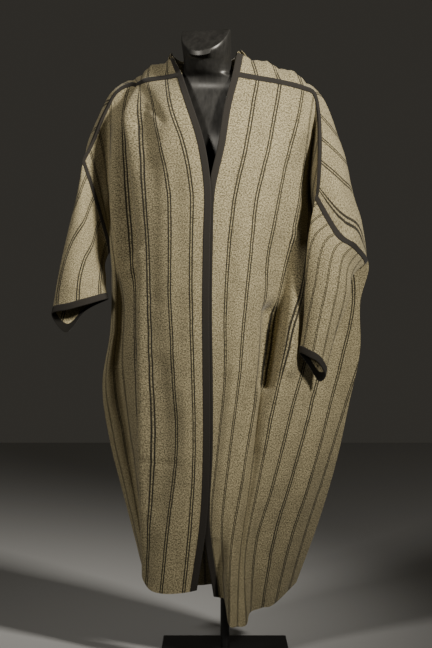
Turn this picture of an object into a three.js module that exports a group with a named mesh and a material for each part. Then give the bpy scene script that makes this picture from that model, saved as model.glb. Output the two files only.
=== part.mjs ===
// A djellaba: a wide, hooded wool robe, hung on a limbless dress form.
// Millimetres, +Z up. The origin is under the middle of the base plate, on the pole's axis.
// The robe's front faces -Y, so the wearer's right side is at -X and the wearer's left at +X.
// Cloth is built as thin walls. Each panel is a smooth surface through a small net of control
// points: its columns are lines down the cloth, its rows are levels from the seam to the hem.
import * as THREE from "three";
import { mergeVertices } from "three/addons/utils/BufferGeometryUtils.js";

// ---------------------------------------------------------------- driving sizes
const CLOTH = 2; // thickness of the fulled wool
const SEAM_GAP = 0.6; // between pieces that are sewn together
const BRAID = 1.2; // thickness of the braid
const BRAID_LIFT = 0.35; // braid clear of the cloth that it is sewn on
const BRAID_WIDTH = 17;
const BRAID_HALF = BRAID_WIDTH / 2;
const BRAID_GAP = 0.5; // between lengths of braid that meet

const PLATE = { width: 310, depth: 300, thick: 8 };
const POLE_RADIUS = 11;
const POLE_SIDES = 24;
const FORM_TURN = THREE.MathUtils.degToRad(15); // the form faces a little to its right
const FORM_SIDES = 36;
const FORM_TILT = 0.07; // rise of the right shoulder over the left, per millimetre across
const NECK_CUT = { x: -46, y: -38, z: 1512, radius: 61, slope: 0.97 };

// Levels down the robe: share of the length still below, and cloth length from the seam.
const SHARE = [1, 0.94, 0.86, 0.77, 0.67, 0.55, 0.42, 0.28, 0.14, 0];
const LENGTH = [0, 75, 175, 290, 415, 565, 730, 905, 1080, 1265];
const BACK_LENGTH = [0, 74, 245, 340, 470, 625, 790, 970, 1150, 1330];
const UNDERARM = 3; // the level at which armhole and side seam meet
const SEAM_TOP = 1424; // height from which the back's levels are shared out
const BACK_HEM = 135; // height of the back hem
const STEPS_PER_LEVEL = 2;

// ---------------------------------------------------------------- control tables
// Each table has a row for each level, and a column for each line down the cloth.

// Wearer's right front. Lines: front edge, three stripes, the breast fold's ridge and tuck,
// the flap and flank behind it, the valley and the cloth under the arm, the side seam.
const RIGHT_CLOTH = [0, 45, 100, 150, 190, 225, 262, 305, 350, 412, 475];
const RIGHT_SEAM = [
  [-104, -46, 1404],
  [-145, -12, 1401],
  [-192, 16, 1399],
  [-207, 32, 1397],
  [-216, 48, 1394],
  [-212, 68, 1393],
  [-232, 80, 1400],
  [-268, 80, 1381],
  [-300, 74, 1326],
  [-326, 68, 1262],
  [-350, 60, 1213],
];
const RIGHT_HEM = [170, 163, 160, 170, 198, 203, 205, 205, 205, 203, 200];
const RIGHT_ACROSS = [
  [-104, -145, -192, -207, -216, -212, -232, -268, -300, -326, -350],
  [-80, -135, -177, -202, -246, -218, -246, -274, -292, -312, -330],
  [-50, -103, -156, -193, -238, -207, -240, -280, -288, -300, -308],
  [-34, -82, -135, -187, -224, -200, -232, -280, -284, -290, -286],
  [-36, -83, -132, -180, -211, -190, -222, -270, -268, -276, -280],
  [-38, -83, -131, -175, -212, -190, -215, -243, -256, -272, -283],
  [-37, -78, -123, -169, -212, -190, -213, -243, -262, -286, -302],
  [-36, -75, -115, -162, -210, -188, -208, -228, -240, -264, -284],
  [-43, -84, -134, -174, -206, -186, -196, -207, -214, -230, -245],
  [-67, -100, -152, -184, -199, -180, -184, -188, -192, -198, -205],
];
const RIGHT_DEPTH = [
  [-46, -12, 16, 32, 48, 68, 80, 80, 74, 68, 60],
  [-88, -74, -42, -12, 8, 45, 62, 66, 98, 92, 66],
  [-134, -124, -98, -58, -22, 25, 45, 40, 104, 100, 76],
  [-154, -146, -124, -84, -42, 8, 28, 22, 98, 92, 85],
  [-161, -154, -134, -98, -58, -10, 12, 10, 40, 38, 50],
  [-163, -156, -136, -104, -70, -20, 8, 42, 58, 36, 42],
  [-161, -156, -138, -106, -76, -25, 5, 44, 60, 34, 40],
  [-157, -152, -138, -108, -80, -32, -4, 32, 54, 38, 44],
  [-151, -146, -134, -108, -82, -38, -14, 12, 34, 36, 50],
  [-142, -140, -130, -108, -80, -42, -18, 5, 25, 38, 58],
];
const RIGHT_SIDE_HEIGHT = [1213, 1150, 1075, 990, 900, 780, 650, 510, 355, 200];

// Wearer's left front. Lines: front edge, eight stripes, the side seam.
const LEFT_CLOTH = [0, 60, 117, 174, 231, 288, 345, 402, 450, 475];
const LEFT_SEAM = [
  [18, -62, 1403],
  [79, -56, 1393],
  [134, -56, 1384],
  [189, -60, 1370],
  [214, -66, 1356],
  [224, -70, 1305],
  [226, -74, 1248],
  [225, -77, 1192],
  [222, -79, 1135],
  [220, -80, 1112],
];
const LEFT_HEM = [150, 145, 140, 88, 83, 85, 110, 115, 122, 159];
const LEFT_ACROSS = [
  [18, 79, 134, 189, 214, 224, 226, 225, 222, 220],
  [-1, 66, 120, 175, 202, 211, 211, 215, 232, 245],
  [-17, 49, 101, 149, 191, 206, 212, 228, 262, 285],
  [-41, 24, 75, 125, 175, 203, 222, 258, 310, 348],
  [-46, 9, 60, 100, 146, 191, 225, 266, 300, 330],
  [-48, 0, 45, 88, 112, 155, 204, 238, 282, 330],
  [-46, -1, 30, 72, 84, 116, 161, 207, 250, 304],
  [-46, -18, 9, 44, 62, 81, 120, 163, 217, 273],
  [-52, -33, -9, 14, 36, 48, 73, 116, 171, 230],
  [-27, -12, -1, 9, 28, 49, 59, 89, 128, 176],
];
const LEFT_DEPTH = [
  [-62, -56, -56, -60, -66, -70, -74, -77, -79, -80],
  [-98, -98, -92, -86, -76, -30, -22, -28, -48, -55],
  [-134, -132, -122, -98, -36, 6, 5, -12, -30, -38],
  [-147, -148, -140, -112, -50, -8, 4, 0, -10, -15],
  [-154, -155, -150, -104, -50, -58, -26, -10, -8, -6],
  [-156, -157, -156, -96, -44, -98, -62, -32, -14, 0],
  [-154, -156, -156, -112, -84, -124, -94, -62, -28, 8],
  [-150, -152, -154, -140, -120, -132, -112, -82, -38, 18],
  [-144, -145, -146, -150, -128, -130, -108, -76, -25, 32],
  [-115, -100, -105, -145, -138, -128, -100, -62, -10, 45],
];
const LEFT_SIDE_HEIGHT = [1112, 1050, 1005, 952, 855, 735, 605, 460, 310, 159];

// The neck is a notch in the back panel: its sides run on from the front edges, up to the first
// level under the seam, and this is its bottom, from the wearer's left round to the right.
const NECKLINE = [
  [24, 28, 1450],
  [6, 64, 1446],
  [-40, 80, 1442],
  [-88, 74, 1443],
  [-113, 46, 1444],
];

// The back panel's lines run from the wearer's left side seam to the right one. Its first two
// levels under the seam: over the shoulder's crest, and at the shoulder blades.
const BACK_CREST = [
  [262, -96, 1036],
  [264, -90, 1086],
  [272, -70, 1150],
  [276, -55, 1205],
  [266, -35, 1264],
  [238, -20, 1350],
  [180, -14, 1404],
  [118, -10, 1430],
  [68, -12, 1446],
  [30, -22, 1458],
  ...NECKLINE,
  [-127, 6, 1450],
  [-145, 44, 1450],
  [-188, 58, 1435],
  [-206, 78, 1424],
  [-218, 92, 1416],
  [-230, 106, 1410],
  [-250, 112, 1406],
  [-288, 108, 1374],
  [-320, 106, 1314],
  [-346, 104, 1250],
  [-356, 106, 1160],
];
const BACK_BLADE = [
  [318, -82, 986],
  [330, -42, 1028],
  [322, 0, 1082],
  [308, 34, 1136],
  [286, 62, 1186],
  [250, 86, 1226],
  [206, 102, 1228],
  [150, 114, 1224],
  [96, 122, 1222],
  [44, 128, 1221],
  [20, 129, 1221],
  [-8, 130, 1220],
  [-40, 132, 1220],
  [-72, 133, 1220],
  [-98, 140, 1240],
  [-120, 145, 1250],
  [-154, 146, 1246],
  [-190, 145, 1234],
  [-206, 145, 1224],
  [-220, 148, 1224],
  [-232, 150, 1224],
  [-248, 152, 1222],
  [-276, 156, 1202],
  [-306, 160, 1170],
  [-328, 158, 1124],
  [-325, 146, 1068],
];
// Middle and depth of the back's sections, from the underarm level to the hem.
const BACK_MIDDLE = [-36, -32, -28, -24, -18, -14, -12];
const BACK_DEPTH = [146, 150, 152, 154, 158, 162, 166];
const BACK_FOLDS = { count: 5.5, upper: 3, lower: 15 };

// Sleeves, from under the armhole seam to the cuff. Points round each ring: over the arm,
// two in front, under the arm, two behind.
const RIGHT_SLEEVE = [
  [[-366, 48, 1118], [-350, 22, 1075], [-326, 32, 1008], [-300, 84, 951], [-326, 125, 990], [-352, 98, 1060]],
  [[-388, 34, 1022], [-368, 2, 985], [-332, 4, 940], [-296, 46, 918], [-325, 88, 930], [-368, 74, 975]],
  [[-408, 20, 925], [-380, -14, 905], [-335, -14, 888], [-294, 24, 890], [-328, 52, 882], [-380, 48, 892]],
  [[-424, 6, 822], [-380, -20, 834], [-334, -20, 847], [-288, 6, 860], [-345, 24, 832], [-390, 22, 779]],
];
const LEFT_SLEEVE = [
  [[199, -98, 1005], [238, -66, 975], [282, -58, 940], [306, -72, 915], [280, -116, 955], [236, -120, 985]],
  [[192, -102, 905], [224, -74, 890], [262, -72, 872], [296, -88, 858], [262, -126, 876], [224, -128, 892]],
  [[188, -102, 812], [212, -80, 798], [240, -80, 784], [264, -96, 776], [240, -124, 790], [212, -126, 802]],
  [[178, -100, 730], [200, -84, 700], [224, -86, 662], [238, -100, 676], [222, -120, 706], [200, -122, 720]],
];

// The hood, dropped on the back. A row for each line from the neckline to the face edge, with
// its points from the wearer's left end of the notch, round the back, to the right end.
const HOOD = {
  stand: [
    [33, -15, 1464], [28, 33, 1458], [9, 70, 1455], [-40, 87, 1452],
    [-91, 80, 1452], [-116, 52, 1453], [-129, 13, 1456],
  ],
  lining: [
    [39, 0, 1460], [40, 50, 1453], [20, 92, 1449], [-40, 106, 1447],
    [-100, 98, 1449], [-124, 66, 1451], [-131, 24, 1457],
  ],
  inside: [
    [47, 20, 1449], [60, 96, 1400], [46, 146, 1320], [-40, 152, 1300],
    [-126, 150, 1320], [-140, 108, 1392], [-134, 36, 1453],
  ],
  fold: [
    [56, 46, 1428], [80, 124, 1310], [54, 168, 1180], [-40, 172, 1120],
    [-134, 170, 1180], [-158, 136, 1300], [-139, 52, 1447],
  ],
  outside: [
    [60, 50, 1438], [88, 146, 1340], [62, 188, 1240], [-40, 192, 1200],
    [-142, 190, 1240], [-166, 154, 1330], [-140, 53, 1455],
  ],
  shoulder: [
    [54, 26, 1455], [70, 134, 1404], [54, 180, 1350], [-40, 188, 1340],
    [-134, 182, 1350], [-150, 140, 1400], [-137, 38, 1462],
  ],
  crest: [
    [45, 4, 1465], [54, 100, 1442], [38, 150, 1436], [-40, 160, 1434],
    [-118, 152, 1434], [-134, 108, 1440], [-134, 24, 1465],
  ],
  edge: [
    [37, -11, 1469], [40, 62, 1459], [22, 112, 1457], [-40, 128, 1455],
    [-102, 114, 1453], [-122, 78, 1456], [-131, 13, 1464],
  ],
};
const HOOD_BRAID = 22; // cloth under the face edge's braid
const HOOD_LENGTH = [0, 12, 32, 190, 370, 452, 592, 692, 731];

// The dress form's sections: height, middle across and deep, half width and half depth.
const FORM = [
  { z: 862, x: 0, y: 0, width: 108, depth: 72 },
  { z: 880, x: 0, y: 0, width: 128, depth: 84 },
  { z: 960, x: -2, y: 0, width: 132, depth: 86 },
  { z: 1080, x: -4, y: 0, width: 146, depth: 94 },
  { z: 1180, x: -6, y: 0, width: 172, depth: 104 },
  { z: 1250, x: -6, y: 0, width: 190, depth: 100 },
  { z: 1308, x: -6, y: 1, width: 194, depth: 79 },
  { z: 1350, x: -8, y: 1, width: 186, depth: 64 },
  { z: 1375, x: -12, y: 0, width: 164, depth: 55 },
  { z: 1391, x: -20, y: -2, width: 127, depth: 52 },
  { z: 1401, x: -28, y: -5, width: 92, depth: 50 },
  { z: 1409, x: -38, y: -9, width: 68, depth: 52 },
  { z: 1421, x: -41, y: -15, width: 62, depth: 54 },
  { z: 1440, x: -42, y: -22, width: 60, depth: 58 },
];

// ---------------------------------------------------------------- materials
const WOOL = { color: 0x8a8069, roughness: 0.95, metalness: 0 };
const DARK_BRAID = { color: 0x35342f, roughness: 0.85, metalness: 0 };
const GLOSS_BLACK = { color: 0x17181a, roughness: 0.3, metalness: 0 };
const BLACK_STEEL = { color: 0x141416, roughness: 0.4, metalness: 0.8 };

function makeMesh(name, geometry, look) {
  const mesh = new THREE.Mesh(geometry, new THREE.MeshStandardMaterial(look));
  mesh.name = name;
  return mesh;
}

// ---------------------------------------------------------------- smooth surfaces
const vector = ([x, y, z]) => new THREE.Vector3(x, y, z);

// A smooth curve through points at the given knots.
function curveThrough(knots, points, at) {
  const last = knots.length - 1;
  let i = 0;
  while (i < last - 1 && at > knots[i + 1]) i++;
  const slope = (k) => points[k + 1].clone().sub(points[k]).divideScalar(knots[k + 1] - knots[k]);
  const tangent = (k) => {
    if (k === 0) return slope(0);
    if (k === last) return slope(last - 1);
    const before = knots[k] - knots[k - 1];
    const after = knots[k + 1] - knots[k];
    const sum = slope(k - 1).multiplyScalar(after).add(slope(k).multiplyScalar(before));
    return sum.divideScalar(before + after);
  };
  const span = knots[i + 1] - knots[i];
  const t = (at - knots[i]) / span;
  const t2 = t * t;
  const t3 = t2 * t;
  return new THREE.Vector3()
    .addScaledVector(points[i], 2 * t3 - 3 * t2 + 1)
    .addScaledVector(tangent(i), (t3 - 2 * t2 + t) * span)
    .addScaledVector(points[i + 1], 3 * t2 - 2 * t3)
    .addScaledVector(tangent(i + 1), (t3 - t2) * span);
}

// The control points down a net at a place across it.
const lineAt = (net, across, at) => net.map((row) => curveThrough(across, row, at));

// The knots with a point halfway between each two.
function withMidpoints(knots) {
  const all = [];
  knots.forEach((knot, i) => {
    if (i > 0) all.push((knots[i - 1] + knot) / 2);
    all.push(knot);
  });
  return all;
}

// Places down a line: at the seam, at the braid's lower edge, and then evenly between levels.
function placesDown(points, lengths, top) {
  const first = points[1].distanceTo(points[0]);
  const places = [0, (top / first) * lengths[1]];
  lengths.slice(1).forEach((length, i) => {
    for (let step = 1; step <= STEPS_PER_LEVEL; step++) {
      const place = lengths[i] + ((length - lengths[i]) * step) / STEPS_PER_LEVEL;
      places.push(place);
    }
  });
  return places;
}

// A grid of points on a net: grid[row][column].
function gridOn(net, across, lengths, columns, top) {
  const lines = columns.map((at) => {
    const points = lineAt(net, across, at);
    return placesDown(points, lengths, top).map((place) => curveThrough(lengths, points, place));
  });
  return lines[0].map((_, row) => lines.map((line) => line[row]));
}

// A front's grid, with its second column at the inner edge of the braid all the way down.
function frontGrid(net, across, columns) {
  const grid = gridOn(net, across, LENGTH, columns, BRAID_HALF);
  for (const line of grid) line[1].sub(line[0]).setLength(BRAID_WIDTH).add(line[0]);
  return grid;
}

// ---------------------------------------------------------------- nets of the panels

// A front's net from its tables. Height runs from the seam to the hem by the levels' shares,
// and near the side it follows the side seam's own heights.
function frontNet(seam, hem, across, depth, sideHeight) {
  const last = seam.length - 1;
  const sideSpan = sideHeight[0] - sideHeight[SHARE.length - 1];
  return SHARE.map((share, row) => {
    const sideShare = (sideHeight[row] - hem[last]) / sideSpan;
    return seam.map((top, column) => {
      const pull = Math.pow(column / last, 3);
      const blend = share + (sideShare - share) * pull;
      const height = hem[column] + (top[2] - hem[column]) * blend;
      return new THREE.Vector3(across[row][column], depth[row][column], height);
    });
  });
}

const rightNet = frontNet(RIGHT_SEAM, RIGHT_HEM, RIGHT_ACROSS, RIGHT_DEPTH, RIGHT_SIDE_HEIGHT);
const leftNet = frontNet(LEFT_SEAM, LEFT_HEM, LEFT_ACROSS, LEFT_DEPTH, LEFT_SIDE_HEIGHT);

// The back's lines stand at the fronts' lines along the shoulders, so both sides of a shoulder
// seam have the same points, and at the neckline's points between them.
const NECK_STEP = 50;
const neckHalf = (NECK_STEP * (NECKLINE.length + 1)) / 2;
const backCloth = [
  ...LEFT_CLOTH.map((at) => -neckHalf - at).reverse(),
  ...NECKLINE.map((_, i) => NECK_STEP * (i + 1) - neckHalf),
  ...RIGHT_CLOTH.map((at) => neckHalf + at),
];

function backSection(row, at, leftSide, rightSide) {
  const side = at < 0 ? leftSide : rightSide;
  const reach = Math.abs(at) / (at < 0 ? -backCloth[0] : backCloth[backCloth.length - 1]);
  const turn = (reach * Math.PI) / 2;
  const middle = BACK_MIDDLE[row - UNDERARM];
  const depth = BACK_DEPTH[row - UNDERARM];
  const down = (row - UNDERARM) / (SHARE.length - 1 - UNDERARM);
  const fold = BACK_FOLDS.upper + (BACK_FOLDS.lower - BACK_FOLDS.upper) * down;
  const ripple = fold * Math.cos(reach * Math.PI * BACK_FOLDS.count) * Math.cos(turn);
  const across = middle + (side.x - middle) * Math.sin(turn);
  return [across, side.y + (depth - side.y) * Math.pow(Math.cos(turn), 0.8) + ripple];
}

function backNet() {
  const crest = BACK_CREST.map(vector);
  const blade = BACK_BLADE.map(vector);
  // Over the notch there is no cloth: its lines only lead straight into those below it.
  const lead = BACK_LENGTH[1] / (BACK_LENGTH[2] - BACK_LENGTH[1]);
  const gap = NECKLINE.map((_, i) => {
    const column = LEFT_CLOTH.length + i;
    return crest[column].clone().lerp(blade[column], -lead);
  });
  const top = [...leftNet[0].slice().reverse(), ...gap, ...rightNet[0]];
  const last = top.length - 1;
  return SHARE.map((share, row) => {
    if (row === 0) return top;
    if (row === 1) return crest;
    if (row === 2) return blade;
    const leftSide = leftNet[row][LEFT_CLOTH.length - 1];
    const rightSide = rightNet[row][RIGHT_CLOTH.length - 1];
    return top.map((point, column) => {
      if (column === 0) return leftSide;
      if (column === last) return rightSide;
      const at = backCloth[column];
      const side = at < 0 ? leftSide : rightSide;
      const pull = Math.pow(Math.abs(at) / Math.abs(backCloth[at < 0 ? 0 : last]), 3);
      const plain = BACK_HEM + (Math.min(point.z, SEAM_TOP) - BACK_HEM) * share;
      const [x, y] = backSection(row, at, leftSide, rightSide);
      return new THREE.Vector3(x, y, plain + (side.z - plain) * pull);
    });
  });
}

// ---------------------------------------------------------------- grids of the panels
const rightColumns = [0, BRAID_WIDTH, ...withMidpoints(RIGHT_CLOTH).slice(2)];
const leftColumns = [0, BRAID_WIDTH, ...withMidpoints(LEFT_CLOTH).slice(2)];
const backColumns = [
  ...leftColumns.map((at) => -neckHalf - at).reverse(),
  ...withMidpoints(NECKLINE.map((_, i) => NECK_STEP * (i + 1) - neckHalf)),
  ...rightColumns.map((at) => neckHalf + at),
];

const rightGrid = frontGrid(rightNet, RIGHT_CLOTH, rightColumns);
const leftGrid = frontGrid(leftNet, LEFT_CLOTH, leftColumns);
const backGrid = gridOn(backNet(), backCloth, BACK_LENGTH, backColumns, BRAID_HALF);

// Seams: the back takes the fronts' points along the shoulders and down the side seams.
const rows = rightGrid.length;
const underarmRow = 1 + UNDERARM * STEPS_PER_LEVEL;
const lastBack = backColumns.length - 1;
const leftStart = leftColumns.length - 1;
const rightStart = lastBack - rightColumns.length + 1;
leftGrid[0].forEach((point, column) => (backGrid[0][leftStart - column] = point));
rightGrid[0].forEach((point, column) => (backGrid[0][rightStart + column] = point));
for (let row = underarmRow; row < rows; row++) {
  backGrid[row][0] = leftGrid[row][leftColumns.length - 1];
  backGrid[row][lastBack] = rightGrid[row][rightColumns.length - 1];
}

// The neck's notch. The lines at the inner edge of its braid stand on a straight way from the
// notch's side to the next line.
const notch = { rows: 1 + STEPS_PER_LEVEL, from: leftStart, to: rightStart };
for (let row = 1; row <= notch.rows; row++) {
  for (const [edge, step] of [[leftStart, -1], [rightStart, 1]]) {
    const line = backGrid[row];
    line[edge + step].copy(line[edge + 2 * step]).sub(line[edge]).setLength(BRAID_WIDTH).add(line[edge]);
  }
}

// A sleeve's grid: its first ring is the armhole, with the points of the two panels.
function sleeveGrid(front, frontColumn, backColumn, table) {
  const armhole = [];
  for (let row = 0; row <= underarmRow; row++) armhole.push(front[row][frontColumn]);
  for (let row = underarmRow - 1; row > 0; row--) armhole.push(backGrid[row][backColumn]);
  const around = table[0].length;
  const knots = Array.from({ length: around * 3 + 1 }, (_, i) => i);
  const rings = table.map((ring) => knots.map((i) => vector(ring[i % around])));
  const armholeRows = withTop(armhole.length, around);
  const lines = armhole.map((start, i) => {
    const points = rings.map((ring) => curveThrough(knots, ring, around + armholeRows[i]));
    return [start, ...points];
  });
  return sleeveRings(lines);
}

// Where each armhole point stands on the table's rings. The panels' rows are one braid step
// and two steps a level, and each level is one point of the table.
function withTop(count, around) {
  const half = (count - 2) / 2;
  const places = [0, 1 / 8];
  for (let step = 1; step < half; step++) places.push(step / STEPS_PER_LEVEL);
  places.push(UNDERARM);
  const front = places.slice(0, underarmRow + 1);
  const back = front.slice(1, underarmRow).map((place) => around - place).reverse();
  return [...front, ...back];
}

const SLEEVE_KNOTS = [0, 95, 190, 285, 380];
const SLEEVE_STEPS = [0, BRAID_WIDTH, 56, 95, 142, 190, 237, 285, 324, 380 - BRAID_WIDTH, 380];
function sleeveRings(lines) {
  return SLEEVE_STEPS.map((place) => lines.map((line) => curveThrough(SLEEVE_KNOTS, line, place)));
}

const rightSleeveGrid = sleeveGrid(rightGrid, rightColumns.length - 1, lastBack, RIGHT_SLEEVE);
const leftSleeveGrid = sleeveGrid(leftGrid, leftColumns.length - 1, 0, LEFT_SLEEVE);

// The hood's grid: its first row is the notch's bottom, with the back panel's points.
function hoodGrid() {
  const neckline = backGrid[notch.rows].slice(notch.from, notch.to + 1);
  const control = neckline.filter((_, i) => i % 2 === 0);
  const across = control.map((_, i) => i * NECK_STEP);
  const net = [control, ...Object.values(HOOD).map((row) => row.map(vector))];
  const last = HOOD_LENGTH[HOOD_LENGTH.length - 1];
  const columns = withMidpoints(across);
  const places = withMidpoints(HOOD_LENGTH);
  places.splice(-2, 2, last - HOOD_BRAID, last);
  const lines = columns.map((at) => lineAt(net, across, at));
  const grid = places.map((place) => lines.map((line) => curveThrough(HOOD_LENGTH, line, place)));
  grid[0] = neckline;
  return grid;
}
const hood = hoodGrid();

// ---------------------------------------------------------------- walls

// Normals of every grid, shared where grids meet, so that sewn edges lie side by side.
const normals = new Map();
const keyOf = (point) => point.toArray().map((value) => value.toFixed(2)).join(" ");

// The cells of a grid: all of them, but for those in its notch.
function cells({ grid, closed, notch: hole }) {
  const list = [];
  const columns = grid[0].length;
  const count = closed ? columns : columns - 1;
  for (let row = 0; row + 1 < grid.length; row++) {
    for (let column = 0; column < count; column++) {
      const cut = hole && row < hole.rows && column >= hole.from && column < hole.to;
      if (!cut) list.push([row, column, (column + 1) % columns]);
    }
  }
  return list;
}

function gatherNormals(panel) {
  const { grid, side } = panel;
  for (const [row, a, b] of cells(panel)) {
    const corners = [grid[row][a], grid[row][b], grid[row + 1][a], grid[row + 1][b]];
    const down = corners[2].clone().sub(corners[1]);
    const across = corners[3].clone().sub(corners[0]);
    const normal = down.cross(across).multiplyScalar(side).normalize();
    for (const corner of corners) {
      const key = keyOf(corner);
      if (!normals.has(key)) normals.set(key, new THREE.Vector3());
      normals.get(key).add(normal);
    }
  }
}

// A point's normal. The points inside the notch carry no cloth and have none of their own.
const UP = new THREE.Vector3(0, 0, 1);
const normalAt = (point) => (normals.get(keyOf(point)) ?? UP).clone().normalize();

// The grid with its free edges drawn in by half the gap that sewn pieces keep.
function drawnIn(panel, gap) {
  const { grid, closed } = panel;
  const columns = grid[0].length;
  const filled = new Set(cells(panel).map(([row, a]) => row * columns + a));
  const toward = (from, to) => to.clone().sub(from).setLength(gap);
  return grid.map((line, row) => line.map((point, column) => {
    const before = closed ? (column + columns - 1) % columns : column - 1;
    const has = (r, c) => r >= 0 && c >= 0 && filled.has(r * columns + c);
    const [upLeft, upRight] = [has(row - 1, before), has(row - 1, column)];
    const [downLeft, downRight] = [has(row, before), has(row, column)];
    const moved = point.clone();
    const [up, down] = [upLeft || upRight, downLeft || downRight];
    if (!up && down) moved.add(toward(point, grid[row + 1][column]));
    if (!down && up) moved.add(toward(point, grid[row - 1][column]));
    if (!upLeft && !downLeft && (upRight || downRight)) moved.add(toward(point, line[column + 1]));
    if (!upRight && !downRight && (upLeft || downLeft)) moved.add(toward(point, line[column - 1]));
    return moved;
  }));
}

// A closed wall on a grid, between two distances along the grid's normals. Each cell is split
// along the shorter diagonal of the grid, so that layers on the same grid stay parallel.
function wall(panel, inner, outer, gap) {
  const { grid, side } = panel;
  const shifted = drawnIn(panel, gap / 2);
  const columns = grid[0].length;
  const count = grid.length * columns;
  const layers = (points) => [outer, inner].flatMap((distance) => points.map((point, i) => {
    return point.clone().addScaledVector(normalAt(grid.flat()[i]), distance);
  }));
  const positions = layers(shifted.flat()).flatMap((point) => point.toArray());
  const whole = layers(grid.flat());
  const index = [];
  const face = (a, b, c) => index.push(...(side > 0 ? [a, b, c] : [a, c, b]));
  const quad = (a, b, c, d) => {
    face(a, b, c);
    face(a, c, d);
  };
  const edges = new Set();
  for (const [row, a, b] of cells(panel)) {
    const [upper, lower] = [row * columns, (row + 1) * columns];
    const corners = [upper + a, lower + a, lower + b, upper + b];
    const [line, next] = [grid[row], grid[row + 1]];
    const straight = line[a].distanceTo(next[b]) < line[b].distanceTo(next[a]);
    const outside = straight ? corners : [...corners.slice(1), corners[0]];
    const inside = outside.map((corner) => count + corner);
    quad(...outside);
    quad(inside[0], inside[3], inside[2], inside[1]);
    corners.forEach((corner, i) => edges.add(`${corner} ${corners[(i + 1) % 4]}`));
  }
  for (const edge of edges) {
    const [to, from] = edge.split(" ").map(Number);
    if (edges.has(`${from} ${to}`)) continue;
    const across = whole[from].distanceTo(whole[count + to]);
    if (across < whole[to].distanceTo(whole[count + from])) quad(from, to, count + to, count + from);
    else quad(to, count + to, count + from, from);
  }
  const geometry = new THREE.BufferGeometry();
  geometry.setAttribute("position", new THREE.Float32BufferAttribute(positions, 3));
  geometry.setIndex(index);
  return withUsedPoints(geometry);
}

// The geometry with only the points that its faces use.
function withUsedPoints(geometry) {
  const used = mergeVertices(geometry.toNonIndexed(), 1e-4);
  used.computeVertexNormals();
  return used;
}

// ---------------------------------------------------------------- cloth and braid pieces
const panels = {
  front_right: { grid: rightGrid, side: -1 },
  front_left: { grid: leftGrid, side: 1 },
  back: { grid: backGrid, side: 1, notch },
  sleeve_right: { grid: rightSleeveGrid, side: 1, closed: true },
  sleeve_left: { grid: leftSleeveGrid, side: -1, closed: true },
  hood: { grid: hood, side: -1 },
};
Object.values(panels).forEach(gatherNormals);

// Braid down a side of the neck's notch and on down the front's edge.
function frontBraid(front, backStart, step) {
  const neck = backGrid.slice(1, notch.rows + 1).map((line) => [line[backStart], line[backStart + step]]);
  return [...neck.reverse(), ...front.map((line) => line.slice(0, 2))];
}

// Braid over a shoulder seam: the back's first row, the seam, and the front's first row.
function shoulderBraid(front, backStart, step) {
  const columns = front[0].length;
  const backRow = Array.from({ length: columns }, (_, i) => backGrid[1][backStart + step * i]);
  return [backRow, front[0], front[1]].map((line) => line.slice(1));
}

const braids = {
  braid_front_right: { grid: frontBraid(rightGrid, rightStart, 1), side: -1 },
  braid_front_left: { grid: frontBraid(leftGrid, leftStart, -1), side: 1 },
  braid_shoulder_right: { grid: shoulderBraid(rightGrid, rightStart, 1), side: -1 },
  braid_shoulder_left: { grid: shoulderBraid(leftGrid, leftStart, -1), side: 1 },
  braid_armhole_right: { grid: rightSleeveGrid.slice(0, 2), side: 1, closed: true },
  braid_armhole_left: { grid: leftSleeveGrid.slice(0, 2), side: -1, closed: true },
  braid_cuff_right: { grid: rightSleeveGrid.slice(-2), side: 1, closed: true },
  braid_cuff_left: { grid: leftSleeveGrid.slice(-2), side: -1, closed: true },
  braid_hood: { grid: hood.slice(-2), side: -1 },
};

// ---------------------------------------------------------------- the dress form

// One section of the form: an oval turned with the form, tilted with the shoulders.
function formRing({ z, x, y, width, depth }) {
  return Array.from({ length: FORM_SIDES }, (_, i) => {
    const angle = (2 * Math.PI * i) / FORM_SIDES;
    const across = width * Math.cos(angle);
    const deep = depth * Math.sin(angle);
    return new THREE.Vector3(
      x + across * Math.cos(FORM_TURN) + deep * Math.sin(FORM_TURN),
      y - across * Math.sin(FORM_TURN) + deep * Math.cos(FORM_TURN),
      z - across * FORM_TILT,
    );
  });
}

// The neck's top ring: level behind, and cut on a slope that falls to the front.
function neckTop() {
  const { x, y, z, radius, slope } = NECK_CUT;
  const ring = formRing({ z, x, y, width: radius, depth: radius });
  return ring.map((point, i) => {
    const forward = radius * Math.min(0, Math.sin((2 * Math.PI * i) / FORM_SIDES));
    return point.setZ(z + forward * slope);
  });
}

function formGeometry() {
  const rings = [...FORM.map(formRing), neckTop()];
  const positions = rings.flat().flatMap((point) => point.toArray());
  const index = [];
  rings.slice(1).forEach((_, ring) => {
    for (let i = 0; i < FORM_SIDES; i++) {
      const a = ring * FORM_SIDES + i;
      const b = ring * FORM_SIDES + ((i + 1) % FORM_SIDES);
      index.push(a, b, b + FORM_SIDES, a, b + FORM_SIDES, a + FORM_SIDES);
    }
  });
  const top = (rings.length - 1) * FORM_SIDES;
  for (let i = 1; i + 1 < FORM_SIDES; i++) {
    index.push(0, i + 1, i);
    index.push(top, top + i, top + i + 1);
  }
  const geometry = new THREE.BufferGeometry();
  geometry.setAttribute("position", new THREE.Float32BufferAttribute(positions, 3));
  geometry.setIndex(index);
  geometry.computeVertexNormals();
  return geometry;
}

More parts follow.
